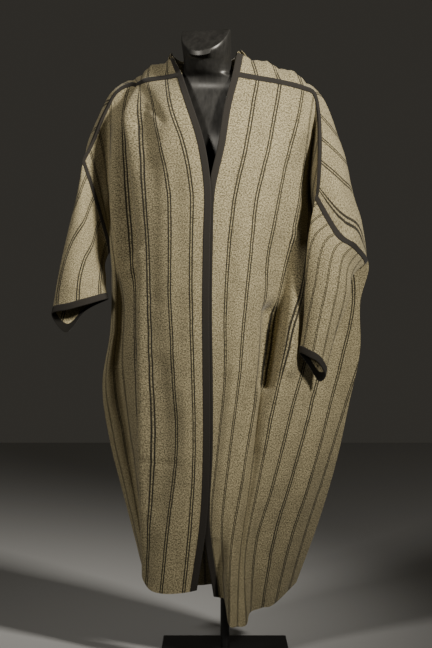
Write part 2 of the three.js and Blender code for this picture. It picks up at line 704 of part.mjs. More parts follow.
function stand() {
  const slab = new THREE.BoxGeometry(PLATE.width, PLATE.depth, PLATE.thick);
  const plate = makeMesh("form_plate", slab, BLACK_STEEL);
  plate.position.z = PLATE.thick / 2;
  const foot = PLATE.thick + SEAM_GAP;
  const reach = FORM[0].z - SEAM_GAP - POLE_RADIUS * FORM_TILT - foot;
  const rod = new THREE.CylinderGeometry(POLE_RADIUS, POLE_RADIUS, reach, POLE_SIDES);
  const pole = makeMesh("form_pole", rod, BLACK_STEEL);
  pole.rotation.x = Math.PI / 2;
  pole.position.z = foot + reach / 2;
  return [plate, pole];
}

// ---------------------------------------------------------------- the whole robe on its form
const djellaba = new THREE.Group();
for (const [name, panel] of Object.entries(panels)) {
  djellaba.add(makeMesh(name, wall(panel, -CLOTH / 2, CLOTH / 2, SEAM_GAP), WOOL));
}
const braidFoot = CLOTH / 2 + BRAID_LIFT;
for (const [name, strip] of Object.entries(braids)) {
  djellaba.add(makeMesh(name, wall(strip, braidFoot, braidFoot + BRAID, BRAID_GAP), DARK_BRAID));
}
djellaba.add(makeMesh("form_torso", formGeometry(), GLOSS_BLACK));
djellaba.add(...stand());

export default djellaba;
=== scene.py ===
"""A djellaba, a wide hooded wool robe with dark braid, hung on a glossy black dress form.

Lengths in the tables are millimetres, and meshes are made in metres. +Z is up and the robe's
front faces -Y, so the wearer's right side is at -X. Each panel is a smooth surface through a
net of points: its columns are lines down the cloth, its rows are levels from seam to hem.
"""

import math
from functools import partial

import bpy
import numpy as np
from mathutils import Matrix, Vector


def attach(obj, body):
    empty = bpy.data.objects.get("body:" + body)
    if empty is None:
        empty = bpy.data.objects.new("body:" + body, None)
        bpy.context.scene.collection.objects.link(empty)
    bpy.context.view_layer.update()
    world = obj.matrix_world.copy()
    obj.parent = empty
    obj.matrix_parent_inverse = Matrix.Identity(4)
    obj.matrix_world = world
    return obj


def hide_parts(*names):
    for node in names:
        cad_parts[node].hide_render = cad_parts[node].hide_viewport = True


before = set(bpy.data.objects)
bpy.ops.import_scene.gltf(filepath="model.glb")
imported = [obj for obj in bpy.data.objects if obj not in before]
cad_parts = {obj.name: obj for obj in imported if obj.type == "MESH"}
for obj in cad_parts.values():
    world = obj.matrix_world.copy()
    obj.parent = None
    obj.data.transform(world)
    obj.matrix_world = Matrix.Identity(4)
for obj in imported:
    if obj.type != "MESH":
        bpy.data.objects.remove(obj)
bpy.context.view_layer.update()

# ------------------------------------------------------------------ sizes
MM = 0.001
HALF_CLOTH = 1.0

# Braid: heights over the cloth's middle, and steps across its width from an edge.
BRAID_WIDTH = 17.0
BRAID_FOOT = 1.15
BRAID_TOP = 2.5
BRAID_RIM = 1.5
BRAID_SHOULDER = 2.25
EDGE_STEPS = np.array([0, 0.7, 2.5, 5.5, 8.5, 11.5, 14.5, 16.3, BRAID_WIDTH])
HALF_STEPS = np.array([0, 3.0, 6.0, 7.8, BRAID_WIDTH / 2])

# Dress form: it is turned about +Z, and tilts down towards the wearer's left.
FORM_TURN = math.radians(15)
FORM_TILT = 0.07
FORM_SIDES = 96
FORM_STEP = 6
FORM_INSET = 1.2
FORM_BASE = (0.02, 0.5, 0.9, 0.97)
NECK_CUT = {"x": -46, "y": -38, "z": 1512, "radius": 60, "slope": 0.97}
NECK_LIP = ((-12, 1), (-2, 1), (-0.5, 0.99), (0, 0.97), (0, 0.9), (0, 0.45), (0, 0.02))
PLATE = (310, 300, 8)
PLATE_BEVEL = 1.5
POLE = {"radius": 11, "foot": 7, "top": 862, "sides": 48}

# Levels run from seam to hem. SHARE is the part of the way that is still to go at each.
SHARE = np.array([1, 0.94, 0.86, 0.77, 0.67, 0.55, 0.42, 0.28, 0.14, 0])
LENGTH = np.array([0, 75, 175, 290, 415, 565, 730, 905, 1080, 1265], float)
BACK_LENGTH = np.array([0, 74, 245, 340, 470, 625, 790, 970, 1150, 1330], float)
SEAM_TOP = 1424
UNDERARM = 3
BACK_HEM = 135
ROWS_PER_LEVEL = (12, 15, 17, 19, 22, 24, 25, 25, 27)
CLOTH_STEP = 7.0

# A panel's heights turn to the side seam's own by this power of the way to it.
SIDE_PULL = 3

# ------------------------------------------------------------------ control tables
# Wearer's right front. Lines: front edge, three stripes, the breast fold's ridge and tuck,
# the flap and flank behind it, the valley and the cloth under the arm, the side seam.
RIGHT_CLOTH = np.array([0, 45, 100, 150, 190, 225, 262, 305, 350, 412, 475], float)
RIGHT_SEAM = [
    [-104, -46, 1404], [-145, -12, 1401], [-192, 16, 1399], [-207, 32, 1397],
    [-216, 48, 1394], [-212, 68, 1393], [-232, 80, 1400], [-268, 80, 1381],
    [-300, 74, 1326], [-326, 68, 1262], [-350, 60, 1213],
]
RIGHT_HEM = [170, 163, 160, 170, 198, 203, 205, 205, 205, 203, 200]
RIGHT_ACROSS = [
    [-104, -145, -192, -207, -216, -212, -232, -268, -300, -326, -350],
    [-80, -135, -177, -202, -246, -218, -246, -274, -292, -312, -330],
    [-50, -103, -156, -193, -238, -207, -240, -280, -288, -300, -308],
    [-34, -82, -135, -187, -224, -200, -232, -280, -284, -290, -286],
    [-36, -83, -132, -180, -211, -190, -222, -270, -268, -276, -280],
    [-38, -83, -131, -175, -212, -190, -215, -243, -256, -272, -283],
    [-37, -78, -123, -169, -212, -190, -213, -243, -262, -286, -302],
    [-36, -75, -115, -162, -210, -188, -208, -228, -240, -264, -284],
    [-43, -84, -134, -174, -206, -186, -196, -207, -214, -230, -245],
    [-67, -100, -152, -184, -199, -180, -184, -188, -192, -198, -205],
]
RIGHT_DEPTH = [
    [-46, -12, 16, 32, 48, 68, 80, 80, 74, 68, 60],
    [-88, -74, -42, -12, 8, 45, 62, 66, 98, 92, 66],
    [-134, -124, -98, -58, -22, 25, 45, 40, 104, 100, 76],
    [-154, -146, -124, -84, -42, 8, 28, 22, 98, 92, 85],
    [-161, -154, -134, -98, -58, -10, 12, 10, 40, 38, 50],
    [-163, -156, -136, -104, -70, -20, 8, 42, 58, 36, 42],
    [-161, -156, -138, -106, -76, -25, 5, 44, 60, 34, 40],
    [-157, -152, -138, -108, -80, -32, -4, 32, 54, 38, 44],
    [-151, -146, -134, -108, -82, -38, -14, 12, 34, 36, 50],
    [-142, -140, -130, -108, -80, -42, -18, 5, 25, 38, 58],
]
RIGHT_SIDE_HEIGHT = [1213, 1150, 1075, 990, 900, 780, 650, 510, 355, 200]

# Wearer's left front. Lines: front edge, eight stripes, the side seam.
LEFT_CLOTH = np.array([0, 60, 117, 174, 231, 288, 345, 402, 450, 475], float)
LEFT_SEAM = [
    [18, -62, 1403], [79, -56, 1393], [134, -56, 1384], [189, -60, 1370], [214, -66, 1356],
    [224, -70, 1305], [226, -74, 1248], [225, -77, 1192], [222, -79, 1135], [220, -80, 1112],
]
LEFT_HEM = [150, 145, 140, 88, 83, 85, 110, 115, 122, 159]
LEFT_ACROSS = [
    [18, 79, 134, 189, 214, 224, 226, 225, 222, 220],
    [-1, 66, 120, 175, 202, 211, 211, 215, 232, 245],
    [-17, 49, 101, 149, 191, 206, 212, 228, 262, 285],
    [-41, 24, 75, 125, 175, 203, 222, 258, 310, 348],
    [-46, 9, 60, 100, 146, 191, 225, 266, 300, 330],
    [-48, 0, 45, 88, 112, 155, 204, 238, 282, 330],
    [-46, -1, 30, 72, 84, 116, 161, 207, 250, 304],
    [-46, -18, 9, 44, 62, 81, 120, 163, 217, 273],
    [-52, -33, -9, 14, 36, 48, 73, 116, 171, 230],
    [-27, -12, -1, 9, 28, 49, 59, 89, 128, 176],
]
LEFT_DEPTH = [
    [-62, -56, -56, -60, -66, -70, -74, -77, -79, -80],
    [-98, -98, -92, -86, -76, -30, -22, -28, -48, -55],
    [-134, -132, -122, -98, -36, 6, 5, -12, -30, -38],
    [-147, -148, -140, -112, -50, -8, 4, 0, -10, -15],
    [-154, -155, -150, -104, -50, -58, -26, -10, -8, -6],
    [-156, -157, -156, -96, -44, -98, -62, -32, -14, 0],
    [-154, -156, -156, -112, -84, -124, -94, -62, -28, 8],
    [-150, -152, -154, -140, -120, -132, -112, -82, -38, 18],
    [-144, -145, -146, -150, -128, -130, -108, -76, -25, 32],
    [-115, -100, -105, -145, -138, -128, -100, -62, -10, 45],
]
LEFT_SIDE_HEIGHT = [1112, 1050, 1005, 952, 855, 735, 605, 460, 310, 159]

# The neck is a notch in the back panel, down to the first level under the seam. This is its
# bottom, from the wearer's left round to the right.
NECKLINE = [[24, 28, 1450], [6, 64, 1446], [-40, 80, 1442], [-88, 74, 1443], [-113, 46, 1444]]

# The back's lines over the shoulder's crest and at the shoulder blades, from the wearer's
# left side seam to the right one.
BACK_CREST = [
    [262, -96, 1036], [264, -90, 1086], [272, -70, 1150], [276, -55, 1205], [266, -35, 1264],
    [238, -20, 1350], [180, -14, 1404], [118, -10, 1430], [68, -12, 1446], [30, -22, 1458],
    [24, 28, 1450], [6, 64, 1446], [-40, 80, 1442], [-88, 74, 1443], [-113, 46, 1444],
    [-127, 6, 1450], [-145, 44, 1450], [-188, 58, 1435], [-206, 78, 1424], [-218, 92, 1416],
    [-230, 106, 1410], [-250, 112, 1406], [-288, 108, 1374], [-320, 106, 1314], [-346, 104, 1250],
    [-356, 106, 1160],
]
BACK_BLADE = [
    [318, -82, 986], [330, -42, 1028], [322, 0, 1082], [308, 34, 1136], [286, 62, 1186],
    [250, 86, 1226], [206, 102, 1228], [150, 114, 1224], [96, 122, 1222], [44, 128, 1221],
    [20, 129, 1221], [-8, 130, 1220], [-40, 132, 1220], [-72, 133, 1220], [-98, 140, 1240],
    [-120, 145, 1250], [-154, 146, 1246], [-190, 145, 1234], [-206, 145, 1224], [-220, 148, 1224],
    [-232, 150, 1224], [-248, 152, 1222], [-276, 156, 1202], [-306, 160, 1170], [-328, 158, 1124],
    [-325, 146, 1068],
]

# The back below the underarm: its middle across and deep at each level, and its folds.
BACK_MIDDLE = [-36, -32, -28, -24, -18, -14, -12]
BACK_DEPTH = [146, 150, 152, 154, 158, 162, 166]
BACK_FOLDS = {"count": 5.5, "upper": 3, "lower": 15}
BACK_ROUNDNESS = 0.8
NECK_STEP = 50.0
NECK_HALF = NECK_STEP * (len(NECKLINE) + 1) / 2

# Sleeves, from under the armhole seam to the cuff. Points round each ring: over the arm,
# two in front, under the arm, two behind.
SLEEVE_KNOTS = np.array([0, 95, 190, 285, 380], float)
RIGHT_SLEEVE = [
    [
        [-366, 48, 1118], [-350, 22, 1075], [-326, 32, 1008],
        [-300, 84, 951], [-326, 125, 990], [-352, 98, 1060],
    ],
    [
        [-388, 34, 1022], [-368, 2, 985], [-332, 4, 940],
        [-296, 46, 918], [-325, 88, 930], [-368, 74, 975],
    ],
    [
        [-408, 20, 925], [-380, -14, 905], [-335, -14, 888],
        [-294, 24, 890], [-328, 52, 882], [-380, 48, 892],
    ],
    [
        [-424, 6, 822], [-380, -20, 834], [-334, -20, 847],
        [-288, 6, 860], [-345, 24, 832], [-390, 22, 779],
    ],
]
LEFT_SLEEVE = [
    [
        [199, -98, 1005], [238, -66, 975], [282, -58, 940],
        [306, -72, 915], [280, -116, 955], [236, -120, 985],
    ],
    [
        [192, -102, 905], [224, -74, 890], [262, -72, 872],
        [296, -88, 858], [262, -126, 876], [224, -128, 892],
    ],
    [
        [188, -102, 812], [212, -80, 798], [240, -80, 784],
        [264, -96, 776], [240, -124, 790], [212, -126, 802],
    ],
    [
        [178, -100, 730], [200, -84, 700], [224, -86, 662],
        [238, -100, 676], [222, -120, 706], [200, -122, 720],
    ],
]

# The hood, dropped on the back: a row for each line from the neckline to the face edge, with its
# points from the left end of the notch, round the back, to the right end.
HOOD = [
    [
        [33, -15, 1464], [28, 33, 1458], [9, 70, 1455], [-40, 87, 1452],
        [-91, 80, 1452], [-116, 52, 1453], [-129, 13, 1456],
    ],
    [
        [39, 0, 1460], [40, 50, 1453], [20, 92, 1449], [-40, 106, 1447],
        [-100, 98, 1449], [-124, 66, 1451], [-131, 24, 1457],
    ],
    [
        [47, 20, 1449], [60, 96, 1400], [46, 146, 1320], [-40, 152, 1300],
        [-126, 150, 1320], [-140, 108, 1392], [-134, 36, 1453],
    ],
    [
        [56, 46, 1428], [80, 124, 1310], [54, 168, 1180], [-40, 172, 1120],
        [-134, 170, 1180], [-158, 136, 1300], [-139, 52, 1447],
    ],
    [
        [60, 50, 1438], [88, 146, 1340], [62, 188, 1240], [-40, 192, 1200],
        [-142, 190, 1240], [-166, 154, 1330], [-140, 53, 1455],
    ],
    [
        [54, 26, 1455], [70, 134, 1404], [54, 180, 1350], [-40, 188, 1340],
        [-134, 182, 1350], [-150, 140, 1400], [-137, 38, 1462],
    ],
    [
        [45, 4, 1465], [54, 100, 1442], [38, 150, 1436], [-40, 160, 1434],
        [-118, 152, 1434], [-134, 108, 1440], [-134, 24, 1465],
    ],
    [
        [37, -11, 1469], [40, 62, 1459], [22, 112, 1457], [-40, 128, 1455],
        [-102, 114, 1453], [-122, 78, 1456], [-131, 13, 1464],
    ],
]
HOOD_LENGTH = np.array([0, 12, 32, 190, 370, 452, 592, 692, 731], float)

# Where a braid wraps an edge the cloth is dark: along which way of the cloth, and past what.
FRONT_WRAP = 5
FRONT_BOUND = ("X", "LESS_THAN", FRONT_WRAP * MM)
CUFF_BOUND = ("Y", "GREATER_THAN", float(SLEEVE_KNOTS[-1] - BRAID_WIDTH) * MM)
HOOD_BOUND = ("Y", "GREATER_THAN", float(HOOD_LENGTH[-1] - BRAID_WIDTH) * MM)

# The dress form's sections: height, middle across and deep, half width and half depth.
FORM = [
    (862, 0, 0, 108, 72), (880, 0, 0, 128, 84), (960, -2, 0, 132, 86),
    (1080, -4, 0, 146, 94), (1180, -6, 0, 172, 104), (1250, -6, 0, 190, 100),
    (1308, -6, 1, 194, 79), (1350, -8, 1, 186, 64), (1375, -12, 0, 164, 55),
    (1391, -20, -2, 127, 52), (1401, -28, -5, 92, 50), (1409, -38, -9, 68, 52),
    (1421, -41, -15, 62, 54), (1440, -42, -22, 60, 58),
]

# Creases, given one by one: the panel's points across and up, width and depth. A negative
# depth is a ridge.
RIGHT_CREASES = [
    {"path": [(-201, 1384), (-180, 1340), (-152, 1286)], "width": 16, "depth": 6},
    {"path": [(-216, 1300), (-206, 1272)], "width": 9, "depth": 5},
    {"path": [(-200, 468), (-160, 466), (-116, 468)], "width": 9, "depth": 3},
    {"path": [(-208, 968), (-230, 928)], "width": 14, "depth": -5},
    {"path": [(-176, 1240), (-168, 1060), (-172, 860)], "width": 22, "depth": 3},
    {"path": [(-120, 1180), (-108, 980), (-112, 760)], "width": 26, "depth": 3},
    {"path": [(-150, 700), (-140, 520), (-150, 330)], "width": 24, "depth": 3},
    {"path": [(-96, 640), (-88, 440), (-100, 250)], "width": 20, "depth": -3},
    {"path": [(-196, 1330), (-170, 1308)], "width": 7, "depth": 3},
    {"path": [(-198, 1312), (-176, 1286)], "width": 7, "depth": 3},
]
BACK_CREASES = [
    {"path": [(72, 1475), (60, 1415)], "width": 12, "depth": 5},
    {"path": [(104, 1470), (98, 1400)], "width": 10, "depth": -5},
    {"path": [(135, 1450), (128, 1390)], "width": 9, "depth": 5},
    {"path": [(166, 1440), (160, 1370)], "width": 10, "depth": -5},
    {"path": [(202, 1420), (196, 1350)], "width": 10, "depth": 5},
    {"path": [(-150, 1480), (-150, 1420)], "width": 10, "depth": 5},
    {"path": [(-178, 1470), (-182, 1400)], "width": 10, "depth": -5},
    {"path": [(-206, 1450), (-212, 1390)], "width": 9, "depth": 4},
    {"path": [(-90, 1180), (-110, 900), (-104, 640)], "width": 34, "depth": 5},
    {"path": [(40, 1160), (52, 860), (38, 520)], "width": 38, "depth": 5},
]
LEFT_CREASES = [
    {"path": [(64, 1330), (58, 1200), (52, 1050)], "width": 30, "depth": 3},
    {"path": [(84, 900), (88, 700), (80, 520)], "width": 26, "depth": -4},
    {"path": [(150, 1290), (146, 1180), (140, 1060)], "width": 24, "depth": 4},
    {"path": [(30, 1290), (18, 1100), (4, 900)], "width": 22, "depth": 3},
    {"path": [(118, 925), (115, 870)], "width": 24, "depth": -5},
    {"path": [(106, 826), (102, 760), (94, 660)], "width": 24, "depth": 17},
    {"path": [(172, 1010), (166, 850), (150, 690)], "width": 20, "depth": -10},
    {"path": [(60, 640), (20, 420), (-10, 220)], "width": 18, "depth": 4},
    {"path": [(20, 700), (-6, 480), (-22, 300)], "width": 16, "depth": -4},
    {"path": [(210, 620), (170, 420), (120, 240)], "width": 24, "depth": 4},
    {"path": [(250, 700), (225, 520), (190, 360)], "width": 20, "depth": -3},
]

# Soft waves all over the cloth: length and height. They fade out over some cells at the edges.
BROAD_WAVES = (170, 0.9)
FINE_WAVES = (60, 0.35)
WAVE_COUNT = 9
WAVE_SPREAD = (0.7, 1.6)
FADE_CELLS = 8

# Rows over which a panel eases away from the seam that it is sewn to.
SEAM_REACH = 12
HOOD_SEAM_REACH = 6


# ------------------------------------------------------------------ smooth surfaces
def spline(knots, points, at):
    """A smooth curve through points at the given knots, at each place in at."""
    knots = np.asarray(knots, float)
    points = np.asarray(points, float)
    at = np.atleast_1d(at).astype(float)
    shape = (-1,) + (1,) * (points.ndim - 1)
    step = np.diff(knots).reshape(shape)
    slope = np.diff(points, axis=0) / step
    inner = (slope[:-1] * step[1:] + slope[1:] * step[:-1]) / (step[:-1] + step[1:])
    tangent = np.concatenate([slope[:1], inner, slope[-1:]])
    i = np.clip(np.searchsorted(knots, at, side="left") - 1, 0, len(knots) - 2)
    span = step[i]
    t = (at - knots[i]).reshape(shape) / span
    return (
        (2 * t**3 - 3 * t**2 + 1) * points[i]
        + (t**3 - 2 * t**2 + t) * span * tangent[i]
        + (3 * t**2 - 2 * t**3) * points[i + 1]
        + (t**3 - t**2) * span * tangent[i + 1]
    )


def surface(net, across, lengths, columns, places):
    """Points [row, column] of the surface on a net [level, line]."""
    lines = spline(across, np.swapaxes(net, 0, 1), columns)
    return spline(lengths, np.swapaxes(lines, 0, 1), places)


def fine(knots, step=CLOTH_STEP):
    """The knots with even places between them, at most a step apart."""
    parts = []
    for low, high in zip(knots[:-1], knots[1:]):
        count = max(2, math.ceil((high - low) / step))
        parts.append(low + (high - low) * np.arange(count) / count)
    return np.concatenate([*parts, [knots[-1]]])


LEVELS = np.concatenate(
    [i + np.arange(n) / n for i, n in enumerate(ROWS_PER_LEVEL)] + [[len(ROWS_PER_LEVEL)]]
)
UNDERARM_ROW = sum(ROWS_PER_LEVEL[:UNDERARM])


def places_on(lengths):
    """The place of each row of points, for levels at the given lengths."""
    return np.interp(LEVELS, np.arange(len(lengths)), lengths)


def front_net(seam, hem, across, depth, side_height):
    """A front's net [level, line]. Heights ease from the common share to the side seam's own."""
    seam = np.asarray(seam, float)
    hem = np.asarray(hem, float)
    side_height = np.asarray(side_height, float)
    last = len(seam) - 1
    side_share = (side_height - hem[last]) / (side_height[0] - side_height[-1])
    pull = (np.arange(last + 1) / last) ** SIDE_PULL
    blend = SHARE[:, None] + (side_share - SHARE)[:, None] * pull
    height = hem + (seam[:, 2] - hem) * blend
    return np.stack([np.asarray(across, float), np.asarray(depth, float), height], axis=2)


def back_net(left, right, cloth):
    """The back's net: seam, crest and blade lines, then a folded curve between the side seams."""
    crest = np.asarray(BACK_CREST, float)
    blade = np.asarray(BACK_BLADE, float)
    lead = BACK_LENGTH[1] / (BACK_LENGTH[2] - BACK_LENGTH[1])
    notch = slice(len(LEFT_CLOTH), len(LEFT_CLOTH) + len(NECKLINE))
    top = np.concatenate([left[0][::-1], (crest + (crest - blade) * lead)[notch], right[0]])
    rows = [top, crest, blade]
    for row in range(UNDERARM, len(SHARE)):
        down = (row - UNDERARM) / (len(SHARE) - 1 - UNDERARM)
        fold = BACK_FOLDS["upper"] + (BACK_FOLDS["lower"] - BACK_FOLDS["upper"]) * down
        middle = BACK_MIDDLE[row - UNDERARM]
        depth = BACK_DEPTH[row - UNDERARM]
        line = []
        for at, point in zip(cloth, top):
            side = left[row][-1] if at < 0 else right[row][-1]
            reach = abs(at) / (-cloth[0] if at < 0 else cloth[-1])
            turn = reach * math.pi / 2
            ripple = fold * math.cos(reach * math.pi * BACK_FOLDS["count"]) * math.cos(turn)
            plain = BACK_HEM + (min(point[2], SEAM_TOP) - BACK_HEM) * SHARE[row]
            line.append([
                middle + (side[0] - middle) * math.sin(turn),
                side[1] + (depth - side[1]) * max(math.cos(turn), 0) ** BACK_ROUNDNESS + ripple,
                plain + (side[2] - plain) * reach**SIDE_PULL,
            ])
        line[0] = left[row][-1]
        line[-1] = right[row][-1]
        rows.append(np.asarray(line, float))
    return np.stack(rows)


def normals_of(grid, side, closed=False):
    """Unit normals of a grid of points; side is 1 or -1."""
    if closed:
        wide = np.concatenate([grid[:, -2:-1], grid, grid[:, 1:2]], axis=1)
        across = wide[:, 2:] - wide[:, :-2]
    else:
        across = np.gradient(grid, axis=1)
    down = np.gradient(grid, axis=0)
    normal = np.cross(down, across) * side
    return normal / np.maximum(np.linalg.norm(normal, axis=2, keepdims=True), 1e-9)


def eased(x):
    """0 to 1 with a soft start and end."""
    x = np.clip(x, 0, 1)
    return x * x * (3 - 2 * x)


def edge_fade(shape):
    """0 at a grid's edges and 1 inside."""
    r = np.arange(shape[0])
    c = np.arange(shape[1])
    down = eased(np.minimum(r, shape[0] - 1 - r) / FADE_CELLS)
    across = eased(np.minimum(c, shape[1] - 1 - c) / FADE_CELLS)
    return down[:, None] * across[None, :]


def unevenness(u, v, seed, length, height):
    """Soft random waves over the cloth."""
    random = np.random.default_rng(seed)
    total = np.zeros_like(u)
    for _ in range(WAVE_COUNT):
        angle = random.uniform(0, math.pi)
        size = length * random.uniform(*WAVE_SPREAD)
        phase = random.uniform(0, 2 * math.pi)
        total += np.sin((u * math.cos(angle) + v * math.sin(angle)) * 2 * math.pi / size + phase)
    return total * height / math.sqrt(WAVE_COUNT)


def path_distance(x, z, path):
    """Distance of each point from a broken line."""
    best = np.full(x.shape, 1e9)
    for (x0, z0), (x1, z1) in zip(path[:-1], path[1:]):
        dx, dz = x1 - x0, z1 - z0
        t = np.clip(((x - x0) * dx + (z - z0) * dz) / (dx * dx + dz * dz), 0, 1)
        best = np.minimum(best, np.hypot(x - x0 - t * dx, z - z0 - t * dz))
    return best


def pressed(grid, normal, creases, x, z):
    """The grid with soft troughs and ridges along the creases' paths."""
    moved = grid.copy()
    for crease in creases:
        away = path_distance(x, z, crease["path"]) / crease["width"]
        moved -= normal * (crease["depth"] * np.exp(-2 * away**2))[..., None]
    return moved


# ------------------------------------------------------------------ the panels' surfaces
right_net = front_net(RIGHT_SEAM, RIGHT_HEM, RIGHT_ACROSS, RIGHT_DEPTH, RIGHT_SIDE_HEIGHT)
left_net = front_net(LEFT_SEAM, LEFT_HEM, LEFT_ACROSS, LEFT_DEPTH, LEFT_SIDE_HEIGHT)
neck_knots = NECK_STEP * np.arange(1, len(NECKLINE) + 1) - NECK_HALF
back_cloth = np.concatenate([-NECK_HALF - LEFT_CLOTH[::-1], neck_knots, NECK_HALF + RIGHT_CLOTH])
right_columns = fine(RIGHT_CLOTH)
left_columns = fine(LEFT_CLOTH)
neck_columns = fine(np.concatenate([[-NECK_HALF], neck_knots, [NECK_HALF]]))
back_columns = np.concatenate(
    [-NECK_HALF - left_columns[::-1], neck_columns[1:-1], NECK_HALF + right_columns]
)

right = surface(right_net, RIGHT_CLOTH, LENGTH, right_columns, places_on(LENGTH))
left = surface(left_net, LEFT_CLOTH, LENGTH, left_columns, places_on(LENGTH))
back = surface(
    back_net(left_net, right_net, back_cloth),
    back_cloth, BACK_LENGTH, back_columns, places_on(BACK_LENGTH),
)


def sewn(grid, row, columns, target, reach=SEAM_REACH):
    """The grid with part of a row moved to the target, eased out over the rows after it."""
    gap = target - grid[row, columns]
    for step in range(reach):
        grid[row + step, columns] += gap * (1 - eased(step / reach))


LEFT_NECK = len(left_columns) - 1
RIGHT_NECK = len(back_columns) - len(right_columns)
NECK_ROW = ROWS_PER_LEVEL[0]


def straightened(edge, step, pitch):
    """The lines beside the notch, drawn straight from its side to the next line of the net."""
    away = (back_columns - back_columns[edge]) * step
    knot = int(np.argmin(np.abs(away - pitch)))
    inner = np.arange(min(edge, knot), max(edge, knot) + 1)
    share = away[inner] / away[knot]
    weight = 1 - eased(LEVELS - 1)
    chord = back[:, [edge]] + (back[:, [knot]] - back[:, [edge]]) * share[:, None]
    back[:, inner] += (chord - back[:, inner]) * weight[:, None, None]


straightened(LEFT_NECK, -1, LEFT_CLOTH[1])
straightened(RIGHT_NECK, 1, RIGHT_CLOTH[1])
sewn(back, 0, slice(0, LEFT_NECK + 1), left[0][::-1])
sewn(back, 0, slice(RIGHT_NECK, None), right[0])
turned = np.swapaxes(back, 0, 1)
sewn(turned, 0, slice(UNDERARM_ROW, None), left[UNDERARM_ROW:, -1])
mirrored = turned[::-1]
sewn(mirrored, 0, slice(UNDERARM_ROW, None), right[UNDERARM_ROW:, -1])

right_u, right_v = np.meshgrid(right_columns, places_on(LENGTH))
left_u, left_v = np.meshgrid(left_columns, places_on(LENGTH))
back_u, back_v = np.meshgrid(back_columns, places_on(BACK_LENGTH))

# Past the last full stripe line the left front's stripes lie by the cloth's own length.
last_full = int(np.argmin(np.abs(left_columns - LEFT_CLOTH[-3])))
reach = np.cumsum(np.linalg.norm(np.diff(left[:, last_full:], axis=1), axis=2), axis=1)
left_u[:, last_full + 1 :] = LEFT_CLOTH[-3] + reach


def worked(grid, side, u, v, creases, seed):
    """The grid with its creases and soft waves."""
    normal = normals_of(grid, side)
    fade = edge_fade(grid.shape)
    waves = unevenness(u, v, seed, *BROAD_WAVES) + unevenness(u, v, seed + 1, *FINE_WAVES)
    moved = pressed(grid, normal * fade[..., None], creases, grid[..., 0], grid[..., 2])
    return moved + normal * (waves * fade)[..., None]


right = worked(right, -1, right_u, right_v, RIGHT_CREASES, seed=3)
left = worked(left, 1, left_u, left_v, LEFT_CREASES, seed=7)
back = worked(back, 1, back_u, back_v, BACK_CREASES, seed=11)

# No cloth lies in the notch: its points only carry the cloth beside it straight on.
back[:NECK_ROW, LEFT_NECK + 1] = 2 * back[:NECK_ROW, LEFT_NECK] - back[:NECK_ROW, LEFT_NECK - 1]
back[:NECK_ROW, RIGHT_NECK - 1] = 2 * back[:NECK_ROW, RIGHT_NECK] - back[:NECK_ROW, RIGHT_NECK + 1]
inside = slice(LEFT_NECK + 1, RIGHT_NECK)
back[NECK_ROW - 1, inside] = 2 * back[NECK_ROW, inside] - back[NECK_ROW + 1, inside]


# ------------------------------------------------------------------ sleeves and hood
def arc_lengths(grid):
    """Length along each row of a grid, from its first point."""
    steps = np.linalg.norm(np.diff(grid, axis=1), axis=2)
    return np.concatenate([np.zeros((len(grid), 1)), np.cumsum(steps, axis=1)], axis=1)


def sleeve(front, back_column, table, stripes_along):
    """Rings from the armhole to the cuff. Columns run from under the arm, up behind, over the
    top and down in front to under the arm again. The stripes run along a place in the rings,
    from 0 at the first column to 1 at the last."""
    behind = back[1 : UNDERARM_ROW + 1, back_column][::-1]
    before = front[: UNDERARM_ROW + 1, -1]
    armhole = np.concatenate([front[UNDERARM_ROW : UNDERARM_ROW + 1, -1], behind[1:], before])
    level = LEVELS[: UNDERARM_ROW + 1]
    places = np.concatenate([-level[::-1][:-1], level])
    around = len(table[0])
    knots = np.arange(around * 3 + 1)
    rings = [armhole]
    for ring in table:
        points = np.array([ring[i % around] for i in knots], float)
        rings.append(spline(knots, points, around + places))
    steps = fine(SLEEVE_KNOTS)
    grid = spline(SLEEVE_KNOTS, np.stack(rings), steps)
    grid[:, -1] = grid[:, 0]
    arc = arc_lengths(grid)
    u = arc - arc[:, [round(stripes_along * (grid.shape[1] - 1))]]
    v = np.repeat(steps[:, None], grid.shape[1], axis=1)
    return grid, u, v


right_sleeve, right_sleeve_u, right_sleeve_v = sleeve(right, -1, RIGHT_SLEEVE, stripes_along=1)
left_sleeve, left_sleeve_u, left_sleeve_v = sleeve(left, 0, LEFT_SLEEVE, stripes_along=0.25)


def hood_surface():
    """The hood from the neckline to its face edge, its stripes on either side of the middle."""
    neckline = back[NECK_ROW, LEFT_NECK : RIGHT_NECK + 1]
    first = len(LEFT_CLOTH) - 1
    control = np.asarray(BACK_CREST, float)[first : first + len(NECKLINE) + 2]
    net = np.concatenate([control[None], np.asarray(HOOD, float)])
    across = np.arange(len(control)) * NECK_STEP
    places = fine(HOOD_LENGTH)
    grid = surface(net, across, HOOD_LENGTH, neck_columns + NECK_HALF, places)
    sewn(grid, 0, slice(None), neckline, HOOD_SEAM_REACH)
    arc = arc_lengths(grid)
    middle = len(neck_columns) // 2
    return grid, arc - arc[:, [middle]], np.repeat(places[:, None], grid.shape[1], axis=1)


hood, hood_u, hood_v = hood_surface()


# ------------------------------------------------------------------ meshes
def add_mesh(name, vertices, faces, uv, material, sharp=50):
    """A smooth mesh from points in millimetres. Edges over the sharp angle stay crisp."""
    mesh = bpy.data.meshes.new(name)
    mesh.from_pydata((vertices * MM).tolist(), [], faces.tolist())
    if uv is not None:
        layer = mesh.uv_layers.new(name="cloth")
        layer.data.foreach_set("uv", (uv * MM).astype(np.float32).ravel())
    mesh.polygons.foreach_set("use_smooth", np.ones(len(mesh.polygons), bool))
    mesh.set_sharp_from_angle(angle=math.radians(sharp))
    mesh.materials.append(material)
    piece = bpy.data.objects.new(name, mesh)
    bpy.context.scene.collection.objects.link(piece)
    return piece


